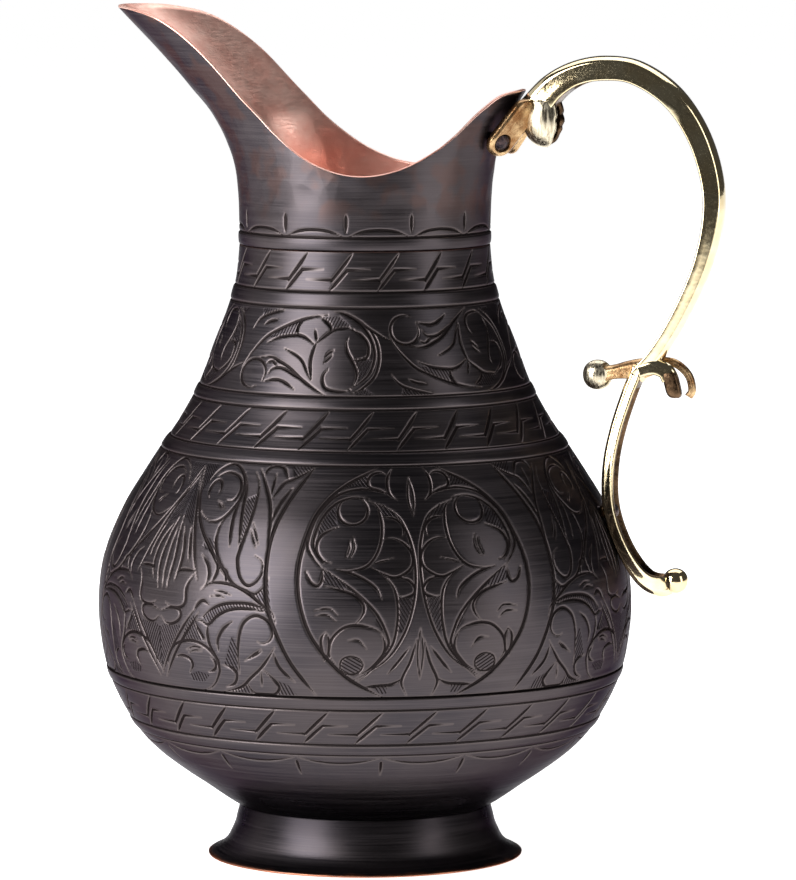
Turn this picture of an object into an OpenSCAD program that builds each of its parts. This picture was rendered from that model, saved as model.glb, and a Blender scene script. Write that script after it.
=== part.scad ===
// Copper water jug: spun body, drawn spout, soldered foot, cast brass handle on three rivets.
// The vessel stands on the XY plane with its axis on Z. The spout points to -X, the handle to +X.
// Heights in this file count from the drawing's datum, which lies a little above the ground.

/* [Body] */
// Widest radius of the belly, outside
belly_radius = 87.5; // [85:0.5:90]
// Height of the widest point of the belly
belly_height = 79; // [76:1:81]
// Radius of the neck at its narrowest, outside
neck_radius = 41; // [40.5:0.1:41.5]
// Thickness of the copper sheet
wall = 1.1; // [0.9:0.1:1.3]

/* [Foot] */
// Radius of the foot where it stands
foot_radius = 51.8; // [50:0.1:53]
// Radius of the crease between foot and bowl
waist_radius = 41.4; // [41.1:0.1:41.7]
// Height of the drawing's datum above the ground
datum = 4.7; // [4.5:0.1:4.9]

/* [Seams] */
// Height of the seam between lower bowl and upper shell, under an engraved ring
belly_seam = 58.5; // [57:0.1:60]
// Height of the seam between upper shell and spout collar, under an engraved ring
neck_seam = 196.6; // [195:0.1:198]

/* [Spout] */
// Reach of the spout tip from the axis
spout_reach = 82.6; // [82:0.1:83]
// Reach of the rim's rear peak from the axis
peak_reach = 53.2; // [52.8:0.1:53.6]

/* [Handle] */
// Width of the bar at the top, where the hand holds it
grip_width = 12; // [11:0.5:13]
// Width of the bar at its lower end
tail_width = 9; // [8:0.5:10]
// Thickness of the web of the hollow-backed bar
web = 2.2; // [1.8:0.1:2.6]

/* [Rivets] */
// Diameter of a rivet's shank
shank_d = 3; // [2.6:0.1:3.2]
// Diameter of an upper rivet's head
head_d = 5; // [4.6:0.1:5.4]
// Diameter of a burr, the small washer that a rivet is peened over
burr_d = 7; // [6.5:0.5:8]

/* [Hidden] */
$fn = 72;
copper_dark = [0.20, 0.16, 0.15];
copper_bare = [0.80, 0.52, 0.42];
brass_pale = [0.86, 0.76, 0.52];
rivet_dark = [0.16, 0.13, 0.14];
gap = 0.05;                        // air between a rivet and the sheet that it passes through

// ---- curves -------------------------------------------------------------------------------

// Hermite blend of a, b with end slopes da, db
function hermite(a, b, da, db, t) =
    a * (2 * pow(t, 3) - 3 * pow(t, 2) + 1) + da * (pow(t, 3) - 2 * pow(t, 2) + t)
    + b * (3 * pow(t, 2) - 2 * pow(t, 3)) + db * (pow(t, 3) - pow(t, 2));

// point and tangent helpers on a list of points, clamped at both ends
function at(p, i) = p[max(0, min(len(p) - 1, i))];
function tangent(p, i) = (at(p, i + 1) - at(p, i - 1)) / 2;

// a smooth run through every point of p, with n steps between neighbours
function smooth(p, n) = concat(
    [for (i = [0:len(p) - 2], k = [0:n - 1])
        hermite(p[i], p[i + 1], tangent(p, i), tangent(p, i + 1), k / n)],
    [p[len(p) - 1]]);

// y of a table of [x, y] rows at x, smooth through the rows
function span_of(tab, x) = max([for (i = [0:len(tab) - 2]) if (i == 0 || tab[i][0] <= x) i]);
function rise(tab, i) =
    let (a = at(tab, i - 1), b = at(tab, i + 1)) (b[1] - a[1]) / (b[0] - a[0]);
function curve(tab, x) =
    let (i = span_of(tab, x), h = tab[i + 1][0] - tab[i][0])
    hermite(tab[i][1], tab[i + 1][1], h * rise(tab, i), h * rise(tab, i + 1), (x - tab[i][0]) / h);

// left-hand unit normal of a run of points, and the run moved along it
function unit(v) = v / norm(v);
function left(p, i) = let (t = unit(at(p, i + 1) - at(p, i - 1))) [-t[1], t[0]];
function moved(p, d) = [for (i = [0:len(p) - 1]) p[i] + left(p, i) * d];

// a bar along the run p whose thickness goes smoothly through the list of values th
function thickness(th, s) = let (k = s * (len(th) - 1), i = min(len(th) - 2, floor(k)))
    hermite(th[i], th[i + 1], tangent(th, i), tangent(th, i + 1), k - i);
function side(p, th, from, to) = [for (i = [0:len(p) - 1])
    p[i] + left(p, i) * thickness(th, i / (len(p) - 1)) * (i == 0 ? from : to)];
function reversed(p) = [for (i = [len(p) - 1:-1:0]) p[i]];
function bar(p, th) = concat(side(p, th, 0.5, 0.5), reversed(side(p, th, -0.5, -0.5)));

// ---- vessel profile, [radius, height] ------------------------------------------------------

bowl_points = [[0, 9.5], [20, 9.8], [34, 10.6], [waist_radius, 12.4], [46.7, 15.5], [53.1, 20],
    [59.6, 24.4], [68, 30.8], [74.8, 38], [80.8, 48], [84.8, 58], [belly_radius - 0.6, 69], [belly_radius, belly_height],
    [belly_radius - 0.9, 90], [84, 99.5], [78.6, 111.5], [72.8, 121], [66.7, 130.4], [61, 138.6],
    [54.4, 150.6], [49.4, 164], [44.9, 175.5], [42.2, 185], [neck_radius, 196],
    [neck_radius, neck_seam + 1]];
outside = smooth(bowl_points, 4);
inside = concat([[0, outside[0][1] + wall]], [for (p = moved(outside, wall)) if (p[0] > 0.5) p]);

foot_points = [[waist_radius - 0.1, 14], [waist_radius + 0.1, 11], [42.2, 8.2], [43, 5.2], [45, 0.9],
    [46.6, -1.1], [48.6, -2.6], [foot_radius - 1.2, -3.6], [foot_radius - 0.1, 0.5 - datum], [foot_radius, 0.3 - datum]];
foot_outside = smooth(foot_points, 4);

// ---- spout collar: an egg-shaped section that opens upwards ----------------------------------

tip_height = 273.1;                // height of the spout's tip
peak_height = 246.6;               // height of the rim's rear peak
// [height, radius] towards the spout, to the side and towards the handle
front_radius = [[190, 41], [neck_seam, neck_radius], [211, 41.3], [221.7, 42.7], [228.5, 44.9],
    [235, 48.3], [241, 52.2], [247, 57.5], [259, 68.5], [tip_height, spout_reach], [280, 89.3]];
side_radius = [[190, 41], [neck_seam, neck_radius], [211, 41.3], [222, 41.6], [236, 41.8],
    [243, 44], [256, 46.2], [268, 47.3], [280, 47.5]];
rear_radius = [[190, 41], [neck_seam, neck_radius], [211, 41.4], [222, 42.6], [228, 44.1],
    [235, 46.8], [241, 49.8], [peak_height, peak_reach], [256, 59.4]];
// [x, height] of the rim, seen from the side
rim_line = [[-90, tip_height + 0.1], [-spout_reach, tip_height], [-72, 272.3], [-60, 268.8],
    [-46, 259], [-32, 244.6],
    [-20, 233], [-8, 224.7], [6, 220.4], [20, 222], [33, 229.4], [43.5, 240], [49, 244.8],
    [peak_reach, peak_height], [58, 247.4]];
rim_columns = 36;                  // columns of the collar's mesh on each side
rim_rows = 10;                     // rows of the collar's mesh from seam to rim

function collar_point(a, z) = [
    -cos(a) * curve(cos(a) > 0 ? front_radius : rear_radius, z),
    -sin(a) * curve(side_radius, z), z];
function rim_x(k) = (peak_reach - spout_reach) / 2
    - (peak_reach + spout_reach) / 2 * cos(180 * k / rim_columns);
function rim_angle(k) = let (x = rim_x(k), z = curve(rim_line, x))
    acos(max(-1, min(1, -x / curve(x < 0 ? front_radius : rear_radius, z))));
function column(k) = k <= rim_columns
    ? [k == 0 ? 0 : k == rim_columns ? 180 : rim_angle(k), curve(rim_line, rim_x(k))]
    : let (m = column(2 * rim_columns - k)) [360 - m[0], m[1]];
function collar_normal(a, z) = let (
    along = collar_point(a + 0.5, z) - collar_point(a - 0.5, z),
    up = collar_point(a, z + 0.2) - collar_point(a, z - 0.2)) unit(cross(along, up));
function level(v) = unit([v[0], v[1], 0]);

collar_count = 2 * rim_columns;
collar_columns = [for (k = [0:collar_count - 1]) column(k)];
function collar_height(c, j) = neck_seam + (c[1] - neck_seam) * j / rim_rows;
function collar_ring(j, depth) = [for (c = collar_columns)
    let (z = collar_height(c, j), n = collar_normal(c[0], z))
    collar_point(c[0], z) - depth * (j == 0 ? level(n) : n)];
function ring_faces(a, b) = [for (i = [0:collar_count - 1], half = [0, 1])
    let (n = (i + 1) % collar_count)
    half == 0 ? [a * collar_count + i, b * collar_count + i, a * collar_count + n]
              : [a * collar_count + n, b * collar_count + i, b * collar_count + n]];

// solid that fills the back of the collar out to d beyond its sheet, for trimming the handle
module collar_core(d) {
    heights = [for (z = [neck_seam + 1:3:255]) [curve(rear_radius, z) + d, z]];
    rotate_extrude() polygon(concat([[0, heights[0][1]]], heights, [[0, 255]]));
}

// ---- handle ---------------------------------------------------------------------------------

// [x, height] along the middle of the bar
grip_line = smooth([[56.5, 240.5], [63, 248], [71, 252.7], [80.5, 254.4], [91, 253], [102.5, 245.6],
    [111, 233.5], [115.8, 219], [116.2, 206], [112.8, 191], [106, 175.5], [98.5, 163], [91.5, 154.6]], 3);
grip_thickness = [10, 8.5, 7.4, 7.2, 6.8, 6.4, 6.2, 6, 5.6, 5, 4.6, 4.4, 4.6];
tail_line = smooth([[90.5, 156], [88.2, 149], [84.6, 138], [82.3, 127], [81.9, 115.5], [83.8, 106],
    [88, 96.5], [93.6, 89], [99.4, 86.6], [104, 87.6]], 3);
tail_thickness = [4.6, 4.6, 4.6, 4.6, 4.6, 4.6, 4.7, 4.8, 5.2, 6];
// [half width, height] of the whole handle, seen along X
width_line = [[tail_width / 2, 80], [tail_width / 2, 165], [5, 200],
    [grip_width / 2, 240], [grip_width / 2, 262]];

lobe_centre = [78, 155];       // round lobe left of the knot
lobe_radius = 4.7;
knob_centre = [104.6, 88.6];         // knob at the tip of the tail
knob_radius = 3.8;
curl_centre = [60.8, 236.2];       // shell-shaped curl under the root of the bar
curl_radius = 6.6;
horn_near = smooth([[93, 156.5], [97, 157.2], [100.8, 155.8], [102.3, 152.4], [100.3, 149.8]], 3);
horn_far = smooth([[93, 156.5], [98, 159], [104.5, 158.3], [108.6, 154], [108.4, 148.6]], 3);
horn_thickness = [4.4, 3.2, 2.8, 2.4, 2];

ear_turn = 40;                     // how far each ear faces away from the handle's plane
ear_tilt = 20;                     // how far each ear leans with the flare of the neck
ear_thickness = 2.6;
ear_radius = 4.8;
ear_hole = [48.6, 9.7, 230];       // middle of the rivet hole on the outer face of an ear
ear_reach = [6.2, 9.6];            // from the hole to the ear's root: sideways and up

tail_hole = [84.05, 110.6];        // middle of the lower rivet hole, [x, height]
boss_radius = 2.8;

module stood() {                   // from the datum to the ground
    translate([0, 0, datum]) children();
}

module flat(from, to) {            // stands a drawing of [x, height] up, between y = from and y = to
    translate([0, to, 0]) rotate([90, 0, 0]) linear_extrude(to - from) children();
}

module at_ear(s) {                 // s is -1 for the ear on -Y, 1 for the ear on +Y
    translate([ear_hole[0], s * ear_hole[1], ear_hole[2]])
        rotate([0, 0, s * ear_turn]) rotate([0, 90 + ear_tilt, 0]) children();
}

module ear(s) {
    root = [-ear_reach[1], -s * ear_reach[0]];
    length = norm(root);
    at_ear(s) translate([0, 0, -ear_thickness]) {
        linear_extrude(ear_thickness) {
            circle(ear_radius);
            translate(root) circle(ear_radius);
            rotate(atan2(root[1], root[0])) translate([0, -ear_radius]) square([length, 2 * ear_radius]);
        }
    }
    at_ear(s) translate([0, 0, -ear_thickness - 3]) cylinder(r = 3.4, h = 4);
}

module ear_bore(s) {
    at_ear(s) translate([0, 0, -12]) cylinder(d = shank_d + 2 * gap, h = 14);
    at_ear(s) translate([0, 0, -1.2]) cylinder(d = head_d + 2 * gap, h = 4);
}

module outline_width() {
    rotate([90, 0, 90]) linear_extrude(140) polygon(concat(width_line,
        [for (p = reversed(width_line)) [-p[0], p[1]]]));
}

module channel(line, th, inset, from, to) {    // hollow on the inner side of a bar
    n = len(line) - 1;
    part = [for (i = [0:n]) if (i >= from * n && i <= to * n) i];
    floor_side = [for (i = part) line[i] + left(line, i) * (thickness(th, i / n) / 2 - inset)];
    open_side = [for (i = part) line[i] + left(line, i) * (thickness(th, i / n) / 2 - inset - 8)];
    polygon(concat(floor_side, reversed(open_side)));
}

module handle_solid() {
    intersection() {
        union() {
            flat(-10, 10) polygon(bar(grip_line, grip_thickness));
            flat(-10, 10) polygon(bar(tail_line, tail_thickness));
            flat(-10, 10) polygon(bar([lobe_centre, [84, 156.6], [90.5, 156.6]], [4.6, 4.2, 4.6]));
        }
        outline_width();
    }
    translate([lobe_centre[0], 0, lobe_centre[1]]) sphere(lobe_radius);
    translate([knob_centre[0], 0, knob_centre[1]]) sphere(knob_radius);
    flat(-3.6, -0.6) polygon(bar(horn_near, horn_thickness));
    flat(0.6, 3.6) polygon(bar(horn_far, horn_thickness));
    flat(-6, 6) translate(curl_centre) circle(curl_radius);
    ear(-1);
    ear(1);
    translate([76, 0, tail_hole[1]]) rotate([0, 90, 0]) cylinder(r = boss_radius, h = 6.5);
}

module handle() {
    color(brass_pale) stood() difference() {
        handle_solid();
        // hollow back of the grip and of the tail
        flat(-3, 3) channel(grip_line, grip_thickness, web, 0.16, 0.9);
        flat(-3.6, 3.6) translate(curl_centre + [1.6, -1.6]) circle(curl_radius - 1.4);
        // the collar's back face and the belly
        collar_core(0.15);
        rotate_extrude() polygon(concat([[0, outside[0][1]]],
            [for (p = moved(outside, -0.1)) if (p[0] > 0.5 && p[1] < 190) p], [[0, 190]]));
        for (s = [-1, 1]) ear_bore(s);
        translate([70, 0, tail_hole[1]]) rotate([0, 90, 0]) cylinder(d = shank_d + 2 * gap, h = 20);
    }
}

// ---- vessel ---------------------------------------------------------------------------------

module shell(from, to) {
    rotate_extrude() intersection() {
        polygon(concat(outside, reversed(inside)));
        translate([0, from]) square([120, to - from]);
    }
}

module tail_bore() {
    translate([60, 0, tail_hole[1]]) rotate([0, 90, 0]) cylinder(d = shank_d + 2 * gap, h = 30);
}

module lower_bowl() {
    color(copper_dark) stood() shell(0, belly_seam);
}

module upper_shell() {
    color(copper_dark) stood() difference() {
        shell(belly_seam, neck_seam);
        tail_bore();
    }
}

module spout_collar() {
    rings = 2 * (rim_rows + 1);
    points = [for (j = [0:rim_rows]) each collar_ring(j, 0),
        for (j = [rim_rows:-1:0]) each collar_ring(j, wall)];
    color(copper_dark) stood() difference() {
        polyhedron(points, [for (j = [0:rings - 1]) each ring_faces(j, (j + 1) % rings)]);
        for (s = [-1, 1]) at_ear(s) translate([0, 0, -14]) cylinder(d = shank_d + 2 * gap, h = 14);
    }
}

module foot_ring() {
    inner = [for (p = reversed(moved(foot_outside, -wall))) if (p[1] > 0.7 - datum) p];
    color(copper_dark) stood() rotate_extrude() difference() {
        polygon(concat(foot_outside,
            [[foot_radius - 0.6, -datum], [foot_radius - 1.4, -datum]], inner));
        polygon(concat(outside, [[0, 60]]));
    }
}

// ---- rivets ---------------------------------------------------------------------------------

ear_burr_depth = 8.1;              // from the ear's outer face to the burr's far face
burr_thickness = 0.9;

module ear_rivet(s) {
    color(rivet_dark) stood() at_ear(s) {
        translate([0, 0, -ear_burr_depth - 0.8]) cylinder(d = shank_d, h = ear_burr_depth);
        translate([0, 0, -1.15]) cylinder(d = head_d, h = 0.7);
        translate([0, 0, -0.45]) intersection() {
            translate([0, 0, -2.6]) sphere(3.48);
            cylinder(d = head_d, h = 2);
        }
    }
}

module ear_burr(s) {
    color(copper_bare) stood() difference() {
        at_ear(s) translate([0, 0, -ear_burr_depth]) difference() {
            cylinder(d = burr_d, h = burr_thickness + 1.2);
            translate([0, 0, -1]) cylinder(d = shank_d + 2 * gap, h = 6);
        }
        difference() {
            collar_core(4);
            collar_core(-wall - 0.1);
        }
    }
}

module rivet_near() { ear_rivet(-1); }
module rivet_far() { ear_rivet(1); }
module burr_near() { ear_burr(-1); }
module burr_far() { ear_burr(1); }

module rivet_lower() {
    color(rivet_dark) stood() translate([0, 0, tail_hole[1]]) rotate([0, 90, 0]) {
        translate([0, 0, 74.6]) cylinder(d = shank_d, h = 9.6);
        translate([0, 0, 84.1]) intersection() {
            translate([0, 0, -2]) sphere(3);
            cylinder(d = 4.4, h = 1.2);
        }
    }
}

module burr_lower() {
    color(copper_bare) stood() translate([0, 0, tail_hole[1]]) rotate([0, 90, 0]) difference() {
        translate([0, 0, 75.2]) cylinder(d = burr_d, h = burr_thickness);
        translate([0, 0, 70]) cylinder(d = shank_d + 2 * gap, h = 10);
    }
}

lower_bowl();
upper_shell();
spout_collar();
foot_ring();
handle();
rivet_near();
rivet_far();
rivet_lower();
burr_near();
burr_far();
burr_lower();
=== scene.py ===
import math

import bpy
import numpy as np
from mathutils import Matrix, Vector


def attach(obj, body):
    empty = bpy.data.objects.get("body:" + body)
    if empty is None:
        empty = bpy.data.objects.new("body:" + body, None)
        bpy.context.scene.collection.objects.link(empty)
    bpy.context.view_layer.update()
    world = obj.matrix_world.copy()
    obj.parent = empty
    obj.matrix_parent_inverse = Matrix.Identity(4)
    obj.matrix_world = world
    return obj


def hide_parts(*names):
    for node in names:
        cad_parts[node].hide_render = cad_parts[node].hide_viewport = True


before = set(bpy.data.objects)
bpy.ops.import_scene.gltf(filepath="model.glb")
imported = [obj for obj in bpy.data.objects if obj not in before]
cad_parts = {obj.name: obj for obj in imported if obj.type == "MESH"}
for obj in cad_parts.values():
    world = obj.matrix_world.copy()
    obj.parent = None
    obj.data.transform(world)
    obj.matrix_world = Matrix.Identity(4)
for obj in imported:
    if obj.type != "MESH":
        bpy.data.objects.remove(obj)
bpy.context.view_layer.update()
MM = 0.001
TURN = 2 * math.pi

# ---- sizes, in millimetres, as in the CAD ------------------------------------------------------
WALL = 1.1
BELLY_SEAM, NECK_SEAM = 58.5, 196.6
TIP_REACH, TIP_HEIGHT = 82.6, 273.1
PEAK_REACH, PEAK_HEIGHT = 53.2, 246.6
DATUM = 4.7                # heights below count from a datum this far above the ground
BOWL = [(0, 9.5), (20, 9.8), (34, 10.6), (41.4, 12.4), (46.7, 15.5), (53.1, 20), (59.6, 24.4),
        (68, 30.8), (74.8, 38), (80.8, 48), (84.8, 58), (86.9, 69), (87.5, 79), (86.6, 90), (84, 99.5),
        (78.6, 111.5),
        (72.8, 121), (66.7, 130.4), (61, 138.6), (54.4, 150.6), (49.4, 164), (44.9, 175.5),
        (42.2, 185), (41, 196), (41, 199.7)]
FOOT = [(41.2, 12.5), (41.5, 11), (42.2, 8.2), (43, 5.2), (45, 0.9), (46.6, -1.1), (48.6, -2.6), (50.6, -3.6),
        (51.6, -4.1), (51.8, -4.35)]
FRONT = [(190, 41), (198.7, 41), (211, 41.3), (221.7, 42.7), (228.5, 44.9), (235, 48.3), (241, 52.2),
         (247, 57.5), (259, 68.5), (TIP_HEIGHT, TIP_REACH), (280, 89.3)]
SIDE = [(190, 41), (198.7, 41), (211, 41.3), (222, 41.6), (236, 41.8), (243, 44), (256, 46.2),
        (268, 47.3), (280, 47.5)]
REAR = [(190, 41), (198.7, 41), (211, 41.4), (222, 42.6), (228, 44.1), (235, 46.8), (241, 49.8),
        (PEAK_HEIGHT, PEAK_REACH), (256, 59.4)]
RIM = [(-90, 273.2), (-TIP_REACH, TIP_HEIGHT), (-72, 272.3), (-60, 268.8), (-46, 259), (-32, 244.6),
       (-20, 233), (-8, 224.7), (6, 220.4), (20, 222), (33, 229.4), (43.5, 240), (49, 244.8),
       (PEAK_REACH, PEAK_HEIGHT), (58, 247.4)]

# ---- curves -------------------------------------------------------------------------------------


def run(points, n=6):
    """A smooth run through every point, with n steps between neighbours."""
    p = np.asarray(points, float)
    last = len(p) - 1
    t = np.linspace(0, 1, n, endpoint=False)[:, None]
    out = []
    for i in range(last):
        a, b = p[i], p[i + 1]
        da = (b - p[max(i - 1, 0)]) / 2
        db = (p[min(i + 2, last)] - a) / 2
        out.append(a * (2 * t**3 - 3 * t**2 + 1) + da * (t**3 - 2 * t**2 + t)
                   + b * (3 * t**2 - 2 * t**3) + db * (t**3 - t**2))
    return np.concatenate(out + [p[-1:]])


def table(rows, x):
    """Smooth value of a table of (x, y) rows, for an array of x."""
    tab = np.asarray(rows, float)
    xs, ys = tab[:, 0], tab[:, 1]
    slope = np.empty(len(tab))
    slope[1:-1] = (ys[2:] - ys[:-2]) / (xs[2:] - xs[:-2])
    slope[0] = (ys[1] - ys[0]) / (xs[1] - xs[0])
    slope[-1] = (ys[-1] - ys[-2]) / (xs[-1] - xs[-2])
    x = np.asarray(x, float)
    i = np.clip(np.searchsorted(xs, x, side="right") - 1, 0, len(tab) - 2)
    h = xs[i + 1] - xs[i]
    t = (x - xs[i]) / h
    return (ys[i] * (2 * t**3 - 3 * t**2 + 1) + h * slope[i] * (t**3 - 2 * t**2 + t)
            + ys[i + 1] * (3 * t**2 - 2 * t**3) + h * slope[i + 1] * (t**3 - t**2))


def lengths(p):
    return np.concatenate([[0], np.cumsum(np.linalg.norm(np.diff(p, axis=0), axis=1))])


def smoothstep(a, b, x):
    t = np.clip((x - a) / (b - a), 0, 1)
    return t * t * (3 - 2 * t)


def sample(p, step):
    """The polyline p again, with points about step apart."""
    s = lengths(p)
    n = max(2, int(round(s[-1] / step)) + 1)
    q = np.linspace(0, s[-1], n)
    return np.stack([np.interp(q, s, p[:, i]) for i in range(p.shape[1])], 1)


def normals(p):
    t = np.gradient(p, axis=0)
    t /= np.linalg.norm(t, axis=1)[:, None]
    return np.stack([t[:, 1], -t[:, 0]], 1)      # to the right of the run: outwards on the body


# ---- meshes -------------------------------------------------------------------------------------


def mesh(name, verts, faces, materials, face_material=None, attributes=None):
    """A mesh from arrays; faces is a list of index arrays with one number of corners each."""
    data = bpy.data.meshes.new(name)
    verts = np.asarray(verts, np.float32) + np.array([0, 0, DATUM], np.float32)
    data.vertices.add(len(verts))
    data.vertices.foreach_set("co", (verts * MM).ravel())
    loops = np.concatenate([np.asarray(f, np.int32).ravel() for f in faces])
    totals = np.concatenate([np.full(len(f), np.asarray(f).shape[1], np.int32) for f in faces])
    starts = np.concatenate([[0], np.cumsum(totals)[:-1]]).astype(np.int32)
    data.loops.add(len(loops))
    data.loops.foreach_set("vertex_index", loops)
    data.polygons.add(len(totals))
    data.polygons.foreach_set("loop_start", starts)
    data.polygons.foreach_set("loop_total", totals)
    if face_material is not None:
        data.polygons.foreach_set("material_index", np.asarray(face_material, np.int32))
    data.polygons.foreach_set("use_smooth", np.ones(len(totals), bool))
    data.update(calc_edges=True)
    data.validate()
    for key, values in (attributes or {}).items():
        item = data.attributes.new(key, "FLOAT", "POINT")
        item.data.foreach_set("value", np.asarray(values, np.float32).ravel())
    for m in materials:
        data.materials.append(m)
    ob = bpy.data.objects.new(name, data)
    bpy.context.scene.collection.objects.link(ob)
    return ob


def grid_faces(rows, columns, start=0, flip=False):
    """Faces between rows that each close round to their own start."""
    i, j = np.meshgrid(np.arange(rows - 1), np.arange(columns), indexing="ij")
    k = (j + 1) % columns
    quad = np.stack([i * columns + j, i * columns + k, (i + 1) * columns + k, (i + 1) * columns + j], -1)
    quad = quad.reshape(-1, 4) + start
    return quad[:, ::-1] if flip else quad


def last_faces(rows, columns):
    """Faces that join the last row with the first."""
    j = np.arange(columns)
    k = (j + 1) % columns
    top = (rows - 1) * columns
    return np.stack([j + top, k + top, k, j], 1)


def strip_faces(fine, coarse, fine_start, coarse_start, flip=False):
    """Faces that join a ring of fine points with a ring of coarse ones."""
    k = fine // coarse
    c = np.arange(coarse)
    along = [(c * k + m) % fine + fine_start for m in range(k + 1)]
    faces = np.stack([*along, (c + 1) % coarse + coarse_start, c + coarse_start], 1)
    return faces[:, ::-1] if flip else faces


def spun(profile, columns, sink=None):
    """Points of a surface of revolution: profile rows of (r, z), moved inwards by sink[row, column]."""
    ang = np.arange(columns) / columns * TURN
    r = np.repeat(profile[:, :1], columns, 1)
    z = np.repeat(profile[:, 1:2], columns, 1)
    if sink is not None:
        n = normals(profile)
        r = r - sink * n[:, :1]
        z = z - sink * n[:, 1:2]
    return np.stack([r * np.cos(ang), r * np.sin(ang), z], -1).reshape(-1, 3)


# ---- engraving ----------------------------------------------------------------------------------
# An outline is a run of (degrees round the jug, height in mm). Each zone's drawing repeats round the jug.

CAMERA_TURN = -75.5        # azimuth of the side that faces the camera


class Engraving:
    """Signed distance to the cut lines over a zone's grid of points, negative inside a line, in mm."""

    def __init__(self, profile, degrees, period):
        self.r, self.z, self.s = profile[:, 0], profile[:, 1], lengths(profile)
        self.u, self.period = np.asarray(degrees, float), period
        shape = (len(profile), len(self.u))
        self.edge = np.full(shape, 2.0)
        self.hatch = np.full(shape, -2.0)
        self.phase = np.zeros(shape)

    def windows(self, p, pad):
        s = np.interp(p[:, 1], self.z, self.s)
        rows = np.nonzero((self.s > s.min() - pad) & (self.s < s.max() + pad))[0]
        if not len(rows):
            return
        wide = pad / (self.r[rows].min() * math.pi / 180)
        for shift in (-2, -1, 0, 1, 2):
            u = p[:, 0] + shift * self.period
            cols = np.nonzero((self.u > u.min() - wide) & (self.u < u.max() + wide))[0]
            if len(cols):
                yield rows, cols, u, s, (self.r[rows] * math.pi / 180)[:, None, None]

    def line(self, points, half=0.42, thin=(0.3, 0.3), smooth=True):
        p = np.asarray(points, float)
        p = run(p, 5) if smooth and len(p) > 2 else sample(p, 0.6)
        d = lengths(p * [0.8 * math.pi / 2, 1])
        t = d / d[-1]
        ends = np.minimum(t / max(thin[0], 0.01), (1 - t) / max(thin[1], 0.01))
        w = half * np.minimum(1, 0.15 + ends)
        for rows, cols, u, s, k in self.windows(p, 1.6):
            x, y = self.u[cols][None, :, None] * k, self.s[rows][:, None, None]
            ax, ay = u[None, None, :-1] * k, s[None, None, :-1]
            bx, by = (u[1:] - u[:-1])[None, None] * k, (s[1:] - s[:-1])[None, None]
            m = np.clip(((x - ax) * bx + (y - ay) * by) / (bx * bx + by * by + 1e-9), 0, 1)
            far = np.hypot(x - ax - m * bx, y - ay - m * by) - (w[:-1] + m * (w[1:] - w[:-1]))
            part = np.ix_(rows, cols)
            self.edge[part] = np.minimum(self.edge[part], far.min(2))

    def fill(self, points, angle=60, spacing=1.0):
        """Marks a field that is cut with parallel lines at an angle."""
        p = np.asarray(points, float)
        p = np.concatenate([p, p[:1]])
        lean = math.radians(angle)
        for rows, cols, u, s, k in self.windows(p, 1.6):
            x, y = self.u[cols][None, :, None] * k, self.s[rows][:, None, None]
            ax, ay = u[None, None, :-1] * k, s[None, None, :-1]
            bx, by = (u[1:] - u[:-1])[None, None] * k, (s[1:] - s[:-1])[None, None] + 1e-9
            m = np.clip(((x - ax) * bx + (y - ay) * by) / (bx * bx + by * by + 1e-9), 0, 1)
            far = np.hypot(x - ax - m * bx, y - ay - m * by).min(2)
            cross = ((ay > y) != (ay + by > y)) & (x < ax + (y - ay) / by * bx)
            inside = np.where(cross.sum(2) % 2 == 1, far, -far)
            part = np.ix_(rows, cols)
            nearer = inside > self.hatch[part]
            phase = (x[..., 0] * math.sin(lean) - y[..., 0] * math.cos(lean)) / spacing
            self.phase[part] = np.where(nearer, np.broadcast_to(phase, nearer.shape), self.phase[part])
            self.hatch[part] = np.maximum(self.hatch[part], inside)

    def pair(self, points, **how):
        """A line and its mirror image."""
        self.line(points, **how)
        self.line([(-u, z) for u, z in points], **how)

    def fill_pair(self, points, angle=60, spacing=1.0):
        self.fill(points, angle, spacing)
        self.fill([(-u, z) for u, z in points], 180 - angle, spacing)


def oval(u, z, ru, rz, start=0, end=360, n=9):
    a = np.radians(np.linspace(start, end, n))
    return [(u + ru * math.cos(t), z + rz * math.sin(t)) for t in a]


WHOLE = (0, 0)             # a line of one width to its ends
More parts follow.
